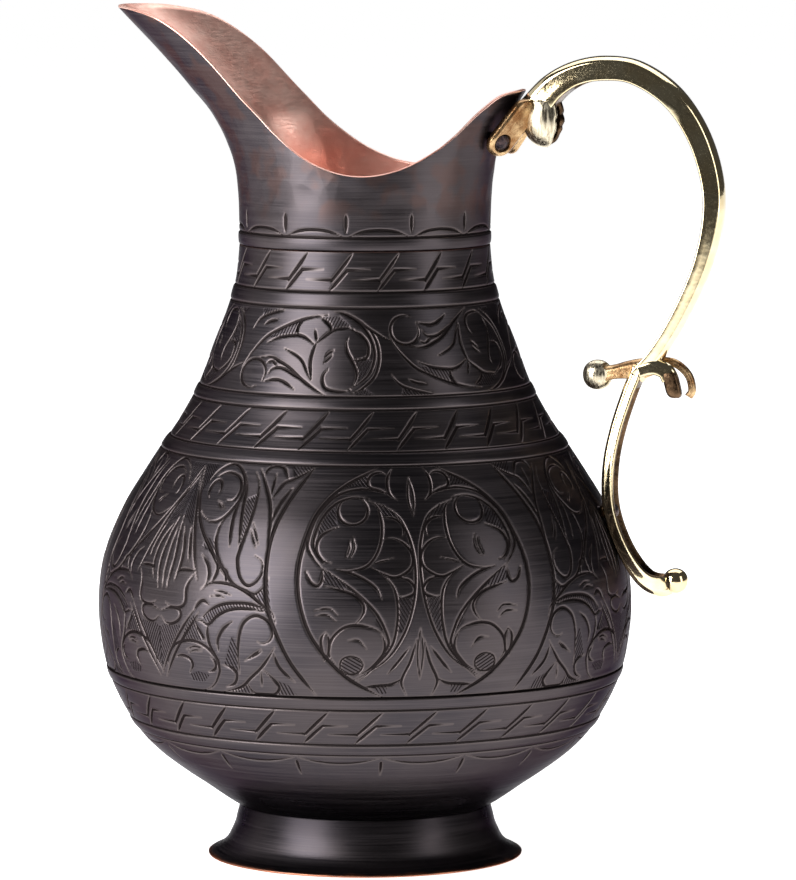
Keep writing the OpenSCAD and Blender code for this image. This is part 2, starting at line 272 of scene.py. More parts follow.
# medallion: outlines on one side of its middle line, the other side is the mirror image
MEDALLION_LINES = [
    [(8, 129.8), (12, 127.4), (16, 124.8), (20, 121), (23.3, 115.3), (25.2, 107), (26, 98.6), (25.2, 88.3),
     (22.4, 77.3), (16, 66), (8, 58.9)],
    [(25, 130), (30.3, 119.8), (33.1, 109), (33.2, 97), (32.3, 87), (30.3, 79), (27, 69), (22, 59.4)],
    [(10.7, 119.8), (7.4, 118.5), (4.1, 116), (2.2, 112), (0.8, 105), (0.6, 97), (1.4, 88), (3.5, 78.8),
     (7.4, 70.5), (14.5, 64)],
    [(3.5, 120), (6, 122), (10, 123.2), (13, 123.4), (17, 122.3), (20, 120), (23, 115), (24.4, 108),
     (23.8, 104.5), (20.5, 99)],
    [(10.5, 120.5), (14, 121), (18, 119.5), (21, 116), (22.7, 111), (23, 106), (20.5, 101)],
    [(17.5, 112.2), (20, 110.8), (21.6, 109.2), (22.4, 106.4), (21.9, 103.8), (20.5, 101.9), (18.8, 101.2)],
    [(10.7, 120), (8.5, 118), (7.6, 114), (7.6, 110.2), (8.2, 106.3), (9.6, 102.5), (11.7, 99.9), (15, 99),
     (17.8, 99.3)],
    [(17.8, 99.3), (14, 98), (10.7, 95.5), (8.8, 92.9), (8, 90)],
    [(7.6, 115), (4.7, 114.7), (2.8, 112.8), (2.5, 110.8), (3, 109.2)],
    [(7.6, 108.4), (5.2, 108.7), (3, 107.4), (1.4, 105), (0.9, 102.5), (1.4, 100), (3, 98), (5.2, 96.9),
     (7.4, 98), (10.2, 100)],
    [(4.6, 97), (2.2, 96), (0.9, 93.5), (1.4, 91.6), (3, 90.8), (4.6, 91)],
    [(10.2, 100), (7.4, 97.4), (5.4, 93.6), (4.7, 88.4), (4.9, 81.4), (6.3, 74.3), (11, 66.5), (13.4, 63.8)],
    [(20.5, 99.5), (15, 94.2), (9.5, 86.5), (6.8, 78.2), (7.1, 74.3), (10.7, 67.9), (13.4, 66.3)],
    [(20, 94.2), (17.2, 93.2), (13.9, 91.6), (12, 89), (11.7, 86.5), (12.5, 84), (13.6, 82.4)],
    [(8.2, 79.7), (9.6, 81), (12.8, 82), (15.6, 81.4), (17.8, 78.8), (18.9, 75.6), (18.9, 72.4),
     (17.8, 69.8)],
    [(8.2, 79.7), (7.4, 76.2), (7.7, 73), (9.6, 69.2), (12.3, 66.6)],
    [(19.7, 79.8), (18.9, 76.3), (19.4, 70.5)],
    [(19.7, 79.8), (20.7, 77), (20, 70.5)],
    [(20.7, 99.3), (20.7, 96), (21.6, 94.2), (23.2, 95.5), (24.3, 98.7)],
    [(4.3, 129.4), (5.5, 127), (5.7, 124.3), (5.2, 121.8), (3.5, 120)],
    [(5.4, 127.2), (7.4, 128.4), (9.6, 127.8), (10.7, 126), (10.2, 124), (7.4, 123), (5.2, 121.8)],
    [(0.8, 77.5), (2, 70.5), (3.6, 65.3), (3.8, 62.8), (2.7, 59.2)],
    [(2.2, 75), (5, 69.5), (6.8, 66.5)],
    [(3.6, 65), (6, 63), (10, 62.4), (12.5, 62)],
]
MEDALLION_ACCENTS = [
    [(14.2, 109.3), (13.8, 106), (14.8, 102.5)], [(14.8, 108.3), (14.9, 106), (15.6, 102.8)],
    [(5.2, 102.8), (10, 101)], [(11.2, 74.5), (12.8, 77.2), (15, 77.3)],
    [(17.2, 85.2), (18.9, 87.2), (22.1, 86.5)], [(17.5, 83.3), (19.4, 85.2), (21.9, 84.9)],
]
MEDALLION_FIELDS = [
    [(2.2, 111), (4, 116), (7, 118.8), (9.2, 119), (8, 116), (4.5, 115)],
    [(11, 128), (16, 124.8), (18.5, 122.8), (14, 124.3), (10.5, 124)],
    [(18.6, 118), (20.8, 116), (22.3, 111.5), (22, 109.8), (18, 112.8)],
    [(15.3, 94.2), (18.5, 98), (20.3, 99.3), (20.5, 95.5), (16, 92.8)],
    [(1, 90), (4.6, 91), (4.6, 84), (5, 80), (3.6, 80)],
    [(7, 63), (10, 62.8), (8.5, 60), (6.8, 60)],
    [(7.2, 82.5), (9, 86.5), (9.4, 83), (8, 80)],
]
# scrolls between the medallions and the lozenges
SCROLL_LINES = [
    [(26, 128.8), (30, 126.2), (32.8, 124.6), (35, 120)],
    [(30.2, 123.3), (32.4, 119), (33.6, 114.7), (34, 112.8)],
    [(38.8, 127), (38.2, 128.8), (36.4, 129.7), (34, 129.4), (32.8, 127.8), (31.8, 126)],
    [(40.4, 128.5), (38, 124.3), (35.6, 119.2), (34.2, 113.4), (33.6, 104.5)],
    [(41.6, 127.5), (39.8, 124.3), (39.2, 119.8), (39.4, 112.8), (40.4, 103.8), (40.4, 100.6), (39.2, 96),
     (37.2, 93.5), (35.2, 94.8), (34, 98), (34.6, 101.2), (36.4, 102.8)],
    [(45, 127.2), (43.2, 123), (42.4, 117.3), (41.4, 110.2), (40.8, 105)],
    [(56, 123.6), (54.4, 126.8), (51.6, 129), (48.8, 129.4), (46, 127.5), (44.2, 124.3), (43.8, 119.8),
     (45.6, 115.3), (47.6, 112.8), (50, 112), (52.4, 113), (54.4, 115)],
    [(53.6, 125.3), (51.2, 126.8), (48, 126.6), (45.6, 125), (44.6, 121.8), (45.6, 119), (47.6, 118.6)],
    [(43.8, 119.8), (44.2, 115.3), (43.8, 109.5), (43.2, 104.8)],
    [(45.6, 114.7), (47, 112.1), (47.4, 108.3), (46.8, 104.4), (45.2, 100.6), (42.8, 96.8), (40.4, 93.5),
     (37.6, 91.9), (35.2, 91), (33, 94), (32.4, 96.3)],
    [(59.8, 128), (57.6, 121), (55, 114.7), (52.6, 110.2), (50, 106.3), (47.6, 103), (45.4, 99.3),
     (42.6, 95.5)],
    [(48.6, 91.2), (46.8, 93.2), (44, 93.8), (40.4, 93.2), (36.8, 91), (33.6, 87.8), (31.2, 85.2),
     (30.4, 82)],
    [(50, 101.9), (48, 99.3), (47, 96), (47.4, 92.9)],
    [(45.6, 101.2), (45, 97.4), (46, 93.5)],
    [(44.8, 98.6), (42.8, 97.4), (42.4, 93.8)],
    [(50, 84.6), (48.8, 87), (47.6, 87.8), (46.2, 86.5)],
    [(47.6, 82.6), (45.6, 85.2), (42.8, 87.1), (39.6, 87.8), (36.4, 87.8), (33.6, 86.8), (31.6, 85.2)],
    [(50, 81.4), (48, 81.3), (46.2, 80.4), (44, 83.3), (41.6, 85.2), (38.8, 86.1), (35.6, 86.1),
     (32.4, 85.5)],
    [(38.8, 65.3), (39, 70.5), (38.8, 75.6), (38, 80.7), (36.4, 83.3), (34.4, 84.2), (32, 82.6), (31, 79.4),
     (31.6, 76.5), (33.2, 75.3), (34.4, 76)],
    [(43.6, 72), (43.8, 75.6), (42.4, 79.4), (40.2, 81.9)],
    [(46.2, 80.5), (46.4, 77.5), (45.6, 73), (43.6, 68.9)],
    [(57.8, 64.7), (58, 67.9), (56.4, 71.7), (53.6, 74), (50, 74.6), (46.8, 73), (44.4, 69.8), (43.8, 67.2),
     (44, 64.7), (45.6, 60.8), (48.4, 58.6)],
    [(55.6, 68.8), (53.6, 69.5), (51.4, 68.6), (50.8, 66.6), (51.8, 64.2)],
    [(45.8, 70), (44.6, 68.2), (45, 66), (46.6, 65)],
    [(49.6, 80), (48.2, 77.4), (47, 75)],
    [(42.8, 67.6), (41, 67.2), (39.6, 65.3), (40.2, 62.1), (42.4, 60.5)],
    [(30.6, 74.3), (32, 71), (34, 67.2), (36.4, 64), (38.8, 60.8), (43.2, 58.9)],
    [(31, 73), (29.6, 67.9), (26.4, 63.4)],
    [(33.6, 67.2), (31.6, 64.7), (30, 61.5), (31.2, 58.9), (33.6, 58.2), (36, 59.5), (37.2, 62.1)],
]
SCROLL_ACCENTS = [
    [(35.5, 127.5), (35.6, 121.4)], [(50.4, 118.5), (48.2, 115.7)], [(49.6, 118.2), (47.4, 116)],
    [(45, 91.2), (43, 91), (40.8, 90)], [(46, 89.3), (44, 89.7), (42.4, 89.2)], [(33.8, 66), (33.9, 61.5)],
    [(37.4, 69.5), (33.6, 73.6)], [(36.6, 70.1), (33.4, 73)], [(38.4, 112.5), (36, 106)],
    [(38.7, 110.5), (36.5, 105)], [(51.6, 70.6), (50, 71.6), (48, 71.5)], [(52.2, 71.6), (50, 72.8),
                                                                           (47.6, 72.4)],
]
SCROLL_FIELDS = [
    [(42, 119.5), (39.3, 121), (39.6, 113), (40.6, 105)],
    [(31.4, 86.2), (33.8, 88.4), (37.5, 91.8), (35, 91), (33, 93.6), (32.5, 95)],
    [(47.6, 82.6), (45.6, 85.2), (42.8, 87.1), (39.6, 87.8), (36.4, 87.8), (33.6, 86.8), (31.6, 85.2),
     (35.6, 86.1), (38.8, 86.1), (41.6, 85.2), (44, 83.3), (46.2, 80.6)],
    [(40.2, 77.5), (42.4, 68), (39.2, 65.4), (39, 74.3)],
    [(52, 63.5), (49.6, 64.8), (46.4, 64), (48, 61.6), (51, 61.6)],
    [(26, 59), (31, 59), (30, 61.5), (31, 64), (28, 62.5)],
    [(37.2, 62.1), (36, 59), (42.5, 59), (38.8, 60.8)],
    [(31.5, 130), (25.6, 130), (26, 128.8), (30, 126.2)],
    [(50.5, 104), (47.6, 103), (45, 99), (47.2, 105.8), (50, 107.5)],
    [(52, 80), (50, 83), (46.8, 75.4), (50, 74.8), (53.4, 74.4)],
    [(57.2, 120), (59.6, 129), (55, 129), (56, 123.6)],
]
LOZENGE_LINES = [
    [(60.2, 125.5), (56.8, 117.3), (54.8, 110.8), (53.2, 105), (51.2, 98), (50, 94.2)],
    [(50, 84.6), (52.4, 80), (55.2, 74.3), (57.6, 69.2), (60.2, 63)],
    [(48.8, 83.8), (51.2, 79), (54, 73.3), (56.4, 68.2), (59, 62)],
    [(56.4, 95.5), (54.8, 96.7), (51.2, 96.7)],
    [(51.2, 95.4), (52.6, 91.6), (52.6, 87.1), (53.6, 85.2), (56, 84.6), (58.4, 85.8)],
    [(59.6, 83.3), (56.4, 84.6), (54, 83.9), (54, 81.4), (56, 79.5), (58, 79.5), (59.6, 81.3)],
    [(58, 110), (56, 104), (55.6, 98), (56.5, 93)],
    [(59.4, 113), (58.4, 106), (57.8, 99), (58.6, 90)],
    [(55.6, 110), (54.2, 104), (53.4, 99.5)],
]
LOZENGE_FIELDS = [
    [(60, 124), (57.4, 117), (55.4, 110), (59.4, 113)],
    [(60, 65), (57.6, 70.2), (55.4, 74.6), (53.4, 79.4), (56, 79), (58.6, 79), (60, 78)],
]


def main_zone(e):
    for points in MEDALLION_LINES[:2]:
        e.pair(points, half=0.55, thin=(0.1, 0.1))
    for points in MEDALLION_LINES[2:]:
        e.pair(points)
    for points in SCROLL_LINES:
        e.pair(points)
    for points in LOZENGE_LINES:
        e.pair(points)
    for points in MEDALLION_ACCENTS + SCROLL_ACCENTS:
        e.pair(points, half=0.3, thin=(0.6, 0.4))
    e.pair(oval(14.4, 117, 3.6, 4.2, 100, 430, 13))
    e.pair(oval(14.4, 69.2, 2.4, 2.9, n=11), half=0.3, thin=WHOLE)
    e.fill_pair(oval(14.4, 69.2, 2.3, 2.8, 0, 330, 10), 30)
    e.pair(oval(52.6, 121.4, 1.8, 3, -60, 200, 9))
    e.pair([(0, 127), (0.7, 121), (0, 115)], half=0.3)
    e.pair([(0, 81), (0.6, 73), (0, 64.5)], half=0.3)
    e.pair([(60, 110), (60, 104), (60, 90)], half=0.35)
    for points in MEDALLION_FIELDS + SCROLL_FIELDS + LOZENGE_FIELDS:
        e.fill_pair(points)


# frieze of the neck: half of its repeat, the other half is the same drawing turned over
FRIEZE_LINES = [
    [(-60, 158.8), (-57, 163.3), (-51.5, 168.6), (-46, 171.3), (-38.4, 174), (-32, 175.5), (-24.8, 176.3)],
    [(-22, 177.4), (-17.5, 176.8), (-12, 174.7), (-8.1, 172.4), (-4.3, 170.5), (0.4, 168.6)],
    [(-60, 171), (-57, 174.3), (-51.5, 176.2), (-45, 177.4)],
    [(-19.8, 177.2), (-13.6, 175), (-9.7, 172.4), (-7, 169), (-5.8, 165.2), (-6.2, 161.8), (-8.1, 158),
     (-12, 155), (-15, 153.5)],
    [(-8.1, 172.4), (-5.4, 169.4), (-4.2, 165.2), (-4.5, 161), (-6.4, 157), (-10.6, 153.6), (-14, 152.2)],
    [(-34.9, 175.1), (-36.8, 173.2), (-37.2, 171.3), (-36.4, 170.1)],
    [(-27.5, 175.4), (-24, 173.5), (-23, 171.5), (-25, 170)],
    [(-50, 167.1), (-44.5, 169), (-38.4, 169.8), (-35.3, 169.8), (-32.2, 168.8), (-28.7, 166.9)],
    [(-28.3, 167.5), (-25.2, 169.8), (-21.3, 171.9), (-16.6, 172.4), (-13.6, 171.9)],
    [(-28.3, 167.5), (-29.4, 164.8), (-29.8, 161.8), (-29.4, 158.8), (-28.7, 156.1)],
    [(-15, 172), (-11.2, 170.5), (-8.5, 167.9), (-8.1, 165.2), (-8.9, 163.3), (-11.2, 162.6), (-14, 162.4)],
    [(-15.9, 169.2), (-16.6, 167.5), (-15.9, 164.9), (-14.3, 162.6), (-12.8, 159.9), (-12.4, 157.3),
     (-13.6, 154.3)],
    [(-22.8, 159.4), (-24.4, 157.7), (-24.4, 155.4), (-22.8, 153.5), (-18.2, 152.7), (-14.3, 153.1)],
    [(-53, 162.2), (-46.9, 162.7), (-42.2, 161.4), (-37.6, 159.5), (-32.2, 156.1), (-27.5, 153.5),
     (-22.8, 151.2)],
    [(-46.5, 157.6), (-44.6, 159.2), (-40.7, 159.4), (-36, 157.7), (-31, 155.4)],
    [(-47.7, 155), (-43, 155.8), (-39.2, 155.2), (-34.5, 152.9)],
    [(-54, 172.6), (-51, 173.8), (-47.5, 174.2)],
]
FRIEZE_ACCENTS = [
    [(-41.4, 165.6), (-36, 163.7), (-33, 161.8), (-30.6, 158.4), (-29, 156.1)], [(-29.6, 171.7),
                                                                                 (-28.3, 168.3)],
    [(-24.4, 163.2), (-23, 164.6), (-21.2, 165.4)], [(-24.6, 161.6), (-23, 162.8), (-21.6, 164)],
    [(-48, 160.8), (-45.5, 161.4), (-43, 159.6)],
]
FRIEZE_FIELDS = [
    [(-50, 168.6), (-47, 170.6), (-38, 174), (-35.5, 174.8), (-37.3, 171), (-36.5, 170), (-41, 169.5)],
    [(-27, 175.5), (-20, 176), (-15, 173), (-19, 171.8), (-23, 172)],
    [(-13, 163), (-9, 163.6), (-6.6, 162), (-8.4, 158.4), (-11.6, 155.6), (-12.2, 158.5)],
    [(-57, 177.6), (-46, 177.6), (-52, 175.8), (-56, 174.8)],
    [(-10, 154), (-6, 151.6), (-13, 151.6)],
]


def frieze(e, middle=164.5):
    for turned in (False, True):
        def place(points):
            return [(u + 60, 2 * middle - z) for u, z in points] if turned else points
        for points in FRIEZE_LINES:
            e.line(place(points))
        for points in FRIEZE_ACCENTS:
            e.line(place(points), half=0.32)
        e.line(place(oval(-53.5, 157.3, 5.8, 4.5, -30, 300, 13)))
        for points in FRIEZE_FIELDS:
            e.fill(place(points), 120 if turned else 60, 0.9)


def meander(e, count, first, low, high, rise, run_out):
    """Pairs of interlocking hooks; rise and run_out are the widths of a hook's slope and level part."""
    pitch = 360 / count
    step = high - low
    for k in range(count):
        u = first + k * pitch
        e.line([(u, low), (u + rise, low + 0.5 * step), (u + 1.25 * rise, low + 0.56 * step),
                (u + rise + run_out, low + 0.57 * step)], half=0.5, thin=(0.15, 0.7))
        e.line([(u + 1.45 * rise, high), (u + 0.25 * rise, low + 0.34 * step), (u, low + 0.3 * step),
                (u - run_out, low + 0.3 * step)], half=0.5, thin=(0.15, 0.7))


# ---- materials ----------------------------------------------------------------------------------


class Finish:
    """A node material: every helper returns an output socket."""

    def __init__(self, name):
        self.material = bpy.data.materials.new(name)
        self.material.use_nodes = True
        self.nodes = self.material.node_tree.nodes
        self.links = self.material.node_tree.links
        self.nodes.clear()
        self.shader = self.nodes.new("ShaderNodeBsdfPrincipled")
        out = self.nodes.new("ShaderNodeOutputMaterial")
        self.links.new(self.shader.outputs[0], out.inputs[0])
        self.place = self.nodes.new("ShaderNodeTexCoord").outputs["Object"]

    def add(self, kind, out=0, inputs=(), **settings):
        node = self.nodes.new(kind)
        for key, value in settings.items():
            setattr(node, key, value)
        for key, value in dict(inputs).items():
            if isinstance(value, bpy.types.NodeSocket):
                self.links.new(value, node.inputs[key])
            else:
                node.inputs[key].default_value = value
        return node.outputs[out]

    def set(self, **inputs):
        for key, value in inputs.items():
            key = key.replace("_", " ")
            if isinstance(value, bpy.types.NodeSocket):
                self.links.new(value, self.shader.inputs[key])
            else:
                self.shader.inputs[key].default_value = value

    def attribute(self, name):
        return self.add("ShaderNodeAttribute", "Fac", attribute_name=name)

    def scaled(self, x, y, z):
        return self.add("ShaderNodeVectorMath", 0, {0: self.place, 1: (x, y, z)}, operation="MULTIPLY")

    def noise(self, vector, scale=1.0, detail=3.0, rough=0.5):
        return self.add("ShaderNodeTexNoise", "Fac", {"Vector": vector, "Scale": scale, "Detail": detail,
                                                      "Roughness": rough})

    def ramp(self, value, low, high, to_low=0.0, to_high=1.0, soft=True):
        return self.add("ShaderNodeMapRange", 0, {0: value, 1: low, 2: high, 3: to_low, 4: to_high},
                        interpolation_type="SMOOTHSTEP" if soft else "LINEAR")

    def math(self, operation, a, b=0.0):
        return self.add("ShaderNodeMath", 0, {0: a, 1: b}, operation=operation)

    def mix(self, fac, a, b):
        node = self.nodes.new("ShaderNodeMix")
        node.data_type = "RGBA"
        for socket, value in ((node.inputs[0], fac), (node.inputs[6], a), (node.inputs[7], b)):
            if isinstance(value, bpy.types.NodeSocket):
                self.links.new(value, socket)
            else:
                socket.default_value = value
        return node.outputs[2]

    def bump(self, height, distance, strength=1.0, normal=None):
        inputs = {"Height": height, "Distance": distance, "Strength": strength}
        return self.add("ShaderNodeBump", 0, {**inputs, "Normal": normal} if normal else inputs)

    def separate(self):
        node = self.nodes.new("ShaderNodeSeparateXYZ")
        self.links.new(self.place, node.inputs[0])
        return node.outputs


def colour(r, g, b):
    return (r, g, b, 1.0)


def patinated(engraved=True):
    """Copper under a black-brown patina, brushed round the body on the lathe."""
    f = Finish("patinated_copper" + ("_engraved" if engraved else "_plain"))
    lines = f.noise(f.scaled(26, 26, 2600), 1.0, 4.0, 0.6)
    scratch = f.noise(f.scaled(60, 60, 900), 1.0, 2.0, 0.5)
    cloud = f.noise(f.place, 26.0, 3.0, 0.55)
    tone = f.mix(f.ramp(cloud, 0.35, 0.7), colour(0.043, 0.038, 0.043), colour(0.067, 0.056, 0.058))
    tone = f.mix(f.ramp(lines, 0.35, 0.75, 0.0, 0.55), tone, colour(0.10, 0.086, 0.09))
    height_up = f.separate()[2]
    # painted shade darkens a band round the join of bowl and foot; mottled on the hammered collar, rubbed
    # bare where it stands
    join_shade = f.ramp(f.math("ABSOLUTE", f.math("SUBTRACT", height_up, 0.019)), 0.016, 0.002, 0.0, 0.72)
    tone = f.mix(join_shade, tone, colour(0.008, 0.007, 0.009))
    mottle = f.math("MULTIPLY", f.ramp(f.noise(f.place, 110.0, 2.0, 0.5), 0.46, 0.62),
                    f.ramp(height_up, 0.208, 0.216))
    tone = f.mix(f.math("MULTIPLY", mottle, 0.42), tone, colour(0.10, 0.055, 0.045))
    wear = f.math("SUBTRACT", height_up, f.math("MULTIPLY", f.noise(f.place, 90.0, 3.0, 0.6), 0.002))
    tone = f.mix(f.ramp(wear, 0.0003, -0.0008, 0.0, 0.8), tone, colour(0.50, 0.20, 0.11))
    rough = f.ramp(lines, 0.3, 0.7, 0.30, 0.42)
    height = f.math("ADD", f.math("MULTIPLY", lines, 0.6), f.math("MULTIPLY", scratch, 0.5))
    normal = f.bump(height, 0.00003, 0.55)
    if engraved:
        edge = f.attribute("edge")
        cut = f.ramp(edge, 0.06, -0.12)
        stripe = f.math("ABSOLUTE", f.math("SUBTRACT", f.math("FRACT", f.attribute("phase")), 0.5))
        line = f.math("MULTIPLY", f.ramp(stripe, 0.26, 0.14), f.ramp(f.attribute("hatch"), -0.08, 0.1))
        dark = f.math("MAXIMUM", cut, line)
        # lighter band just outside each cut: burnished metal with a painted highlight
        edge_burnish_and_highlight = f.math("MULTIPLY", f.ramp(edge, 0.55, 0.15), 0.4)
        tone = f.mix(edge_burnish_and_highlight, tone, colour(0.14, 0.115, 0.11))
        tone = f.mix(f.math("MULTIPLY", dark, 0.9), tone, colour(0.012, 0.009, 0.009))
        rough = f.add("ShaderNodeMix", 0, {0: dark, 2: rough, 3: 0.55})
        normal = f.bump(f.ramp(edge, 0.16, -0.25, 1.0, 0.0), 0.0002, 0.8, normal)
        normal = f.bump(f.math("SUBTRACT", 1.0, line), 0.00012, 0.7, normal)
    f.set(Base_Color=tone, Metallic=1.0, Roughness=rough, Normal=normal,
          Specular_Tint=colour(0.35, 0.34, 0.36))
    return f.material


def bare_copper():
    """The tin-free inside and the cut edge: satin pink copper."""
    f = Finish("bare_copper")
    cloud = f.noise(f.place, 55.0, 4.0, 0.65)
    grain = f.noise(f.scaled(300, 300, 1800), 1.0, 3.0, 0.6)
    tone = f.mix(f.ramp(cloud, 0.3, 0.7), colour(0.90, 0.45, 0.36), colour(1.0, 0.66, 0.56))
    f.set(Base_Color=tone, Metallic=0.9, Roughness=f.ramp(grain, 0.3, 0.7, 0.33, 0.46),
          Normal=f.bump(grain, 0.00004, 0.5))
    return f.material


def polished_brass(name, low, high, smooth, satin, streaks=1.0):
    f = Finish(name)
    cloud = f.noise(f.place, 120.0, 3.0, 0.6)
    grain = f.noise(f.scaled(1500, 1500, 1500 * streaks), 1.0, 3.0, 0.6)
    patches = f.ramp(cloud if streaks == 1 else grain, 0.3, 0.7)
    f.set(Base_Color=f.mix(patches, low, high), Metallic=1.0,
          Roughness=f.ramp(grain, 0.35, 0.7, smooth, satin), Normal=f.bump(cloud, 0.0004, 0.25))
    return f.material


def rough_brass(name, low, high):
    f = Finish(name)
    cloud = f.noise(f.place, 160.0, 3.0, 0.6)
    grain = f.noise(f.place, 1500.0, 3.0, 0.6)
    f.set(Base_Color=f.mix(f.ramp(cloud, 0.35, 0.65), low, high), Metallic=1.0,
          Roughness=f.ramp(grain, 0.3, 0.7, 0.24, 0.42),
          Normal=f.bump(f.math("ADD", cloud, grain), 0.00012, 0.6))
    return f.material


def rivet_metal():
    f = Finish("dark_rivet")
    cloud = f.noise(f.place, 700.0, 3.0, 0.6)
    tone = f.mix(f.ramp(cloud, 0.4, 0.65), colour(0.02, 0.016, 0.02), colour(0.09, 0.06, 0.06))
    f.set(Base_Color=tone, Metallic=0.9, Roughness=f.ramp(cloud, 0.3, 0.7, 0.25, 0.5),
          Normal=f.bump(cloud, 0.0002, 0.5))
    return f.material


def glow_and_shade_floor():
    """White and glowing as painted light, falling off to grey painted shade in front of the jug, so that the
    metal has something dark to reflect.
    """
    f = Finish("floor_glow_and_painted_shade")
    fine = f.noise(f.place, 60.0, 2.0, 0.5)
    ahead = f.math("MULTIPLY", f.separate()[1], -1.0)
    tone = f.mix(fine, colour(0.95, 0.95, 0.95), colour(0.98, 0.98, 0.98))
    # painted shade: grey and barely glowing in front of the jug; painted light: the emission makes the floor
    # glow everywhere else
    tone = f.mix(f.ramp(ahead, 0.4, 1.5), tone, colour(0.32, 0.32, 0.32))
    f.set(Base_Color=tone, Roughness=0.8, Emission_Color=colour(0.97, 0.97, 0.97), Specular_IOR_Level=0.1,
          Emission_Strength=f.ramp(ahead, 0.4, 1.5, 0.97, 0.02))
    return f.material


COPPER, COPPER_PLAIN, BARE = patinated(), patinated(False), bare_copper()
BRASS = polished_brass("cast_brass_polished", colour(0.80, 0.64, 0.37), colour(0.89, 0.77, 0.51), 0.07, 0.15)
BRASS_BRUSHED = polished_brass("cast_brass_brushed", colour(0.40, 0.34, 0.24), colour(0.88, 0.79, 0.60), 0.2,
                               0.42, 0.1)
BRASS_ROUGH = rough_brass("cast_brass_rough", colour(0.24, 0.115, 0.045), colour(0.66, 0.45, 0.24))
BRASS_DARK = rough_brass("cast_brass_dark", colour(0.03, 0.018, 0.01), colour(0.15, 0.09, 0.05))
RIVET = rivet_metal()

# ---- the vessel ---------------------------------------------------------------------------------

COLUMNS = 1200
FINE = 0.45                # distance between the rows of the body's outside
DEPTH = 0.34               # of the cut lines
RINGS = [(38.6, 42.3), (54.3, 58.5), (130.2, 134.3), (147, 151), (178.5, 183.5), (196.6, 200.8)]
RING_LINE = 0.36           # half the width of the line at each side of a ring
CROWN = 0.34               # how far a ring stands out between its two lines
DENT = 0.28                # depth of a blow of the planishing hammer

outline = run(BOWL, 40)


def part_profile(low, high, step):
    """Rows of the outside from height low to height high."""
    z = outline[:, 1]
    keep = outline[(z > low) & (z < high)]
    ends = [np.array([[np.interp(h, z, outline[:, 0]), h]]) for h in (low, high)]
    return sample(np.concatenate([ends[0], keep, ends[1]]), step)


def engrave(profile):
    """sink, edge, hatch and phase over the whole turn for rows of a body profile."""
    turns = np.arange(COLUMNS) / COLUMNS * 360
    facing = turns - CAMERA_TURN
    e = Engraving(profile, (facing + 180) % 360 - 180, 360)
    z = profile[:, 1]

    def repeat(drawing, low, high, turned):
        rows = np.nonzero((z > low) & (z < high))[0]
        if len(rows):
            third = (facing[:COLUMNS // 3] - turned + 60) % 120 - 60
            part = Engraving(profile[rows], third, 120)
            drawing(part)
            for mine, theirs in ((e.edge, part.edge), (e.hatch, part.hatch), (e.phase, part.phase)):
                mine[rows] = np.tile(theirs, 3)

    repeat(main_zone, 58.5, 130.2, 11.5)
    repeat(frieze, 151, 178.5, 9.5)
    if z[-1] > 190:
        meander(e, 17, 5.5, 183.8, 195.8, 7, 11)
        meander(e, 25, -5.1, 134.8, 146.4, 5.4, 8.6)
    if z[0] < 50:
        meander(e, 30, -2.4, 42.8, 53.8, 4.4, 6)
        for k in range(17):
            u = -59.6 + k * 360 / 17
            e.line([(u, 36.6), (u, 31.4)], half=0.4, thin=(0.1, 0.6))
            e.line([(u + 0.5, 37.7), (u + 5, 36.3), (u + 10.6, 35.7), (u + 16.2, 36.3), (u + 20.7, 37.7)],
                   half=0.35)
    crown = np.zeros(len(z))
    for low, high in RINGS:
        for height in (low, high):
            if z[0] <= height <= z[-1]:
                far = np.abs(e.s - np.interp(height, z, e.s))
                e.edge[:] = np.minimum(e.edge, (far - RING_LINE)[:, None])
        x = (z - (low + high) / 2) / ((high - low) / 2)
        crown = np.maximum(crown, CROWN * np.sqrt(np.clip(1 - x * x, 0, 1)))
    sink = DEPTH * smoothstep(0.2, -0.3, e.edge) + 0.13 * smoothstep(-0.1, 0.3, e.hatch) - crown[:, None]
    return sink, e


def spun_piece(name, profile, sink, field, inner, node):
    """A closed piece: the dense outside, a coarser inside, and the edges or small discs that join them."""
    coarse = 120
    outer = spun(profile, COLUMNS, sink)
    inside = spun(inner, coarse)
    rows, inner_rows, start = len(profile), len(inner), len(outer)
    faces = [grid_faces(rows, COLUMNS), grid_faces(inner_rows, coarse, start, flip=True),
             strip_faces(COLUMNS, coarse, (rows - 1) * COLUMNS, start + (inner_rows - 1) * coarse)]
    points = [outer, inside]
    around = np.arange(coarse)[None]
    if profile[0, 0] > 10:
        faces.append(strip_faces(COLUMNS, coarse, 0, start, flip=True))
        pad = len(inside)
    else:
        points.append(spun(np.array([[profile[0, 0] / 2, profile[0, 1]]]), coarse))
        pad = len(inside) + coarse
        under = start + len(inside)
        faces += [strip_faces(COLUMNS, coarse, 0, under, flip=True), around[:, ::-1] + under, around + start]
    kind = np.repeat([0, 1], [len(faces[0]), sum(len(f) for f in faces[1:])])
    attributes = {"edge": np.concatenate([field.edge.ravel(), np.full(pad, 2.0)]),
                  "hatch": np.concatenate([field.hatch.ravel(), np.full(pad, -2.0)]),
                  "phase": np.concatenate([field.phase.ravel(), np.zeros(pad)])}
    piece = mesh(name, np.concatenate(points), faces, [COPPER, BARE], kind, attributes)
    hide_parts(node)
    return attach(piece, "root")


def inner_of(profile, step):
    p = profile - normals(profile) * WALL
    p[:, 0] = np.maximum(p[:, 0], 0.5)
    return sample(p, step)


profile = part_profile(BELLY_SEAM, NECK_SEAM, FINE)
spun_piece("upper_shell_look", profile, *engrave(profile), inner_of(profile, 3), "upper_shell")
under = outline[outline[:, 1] < 30]
under = sample(under[under[:, 0] > 3], 2.0)
profile = np.concatenate([under[:-1], part_profile(under[-1, 1], BELLY_SEAM, FINE)])
spun_piece("lower_bowl_look", profile, *engrave(profile), inner_of(profile, 3), "lower_bowl")

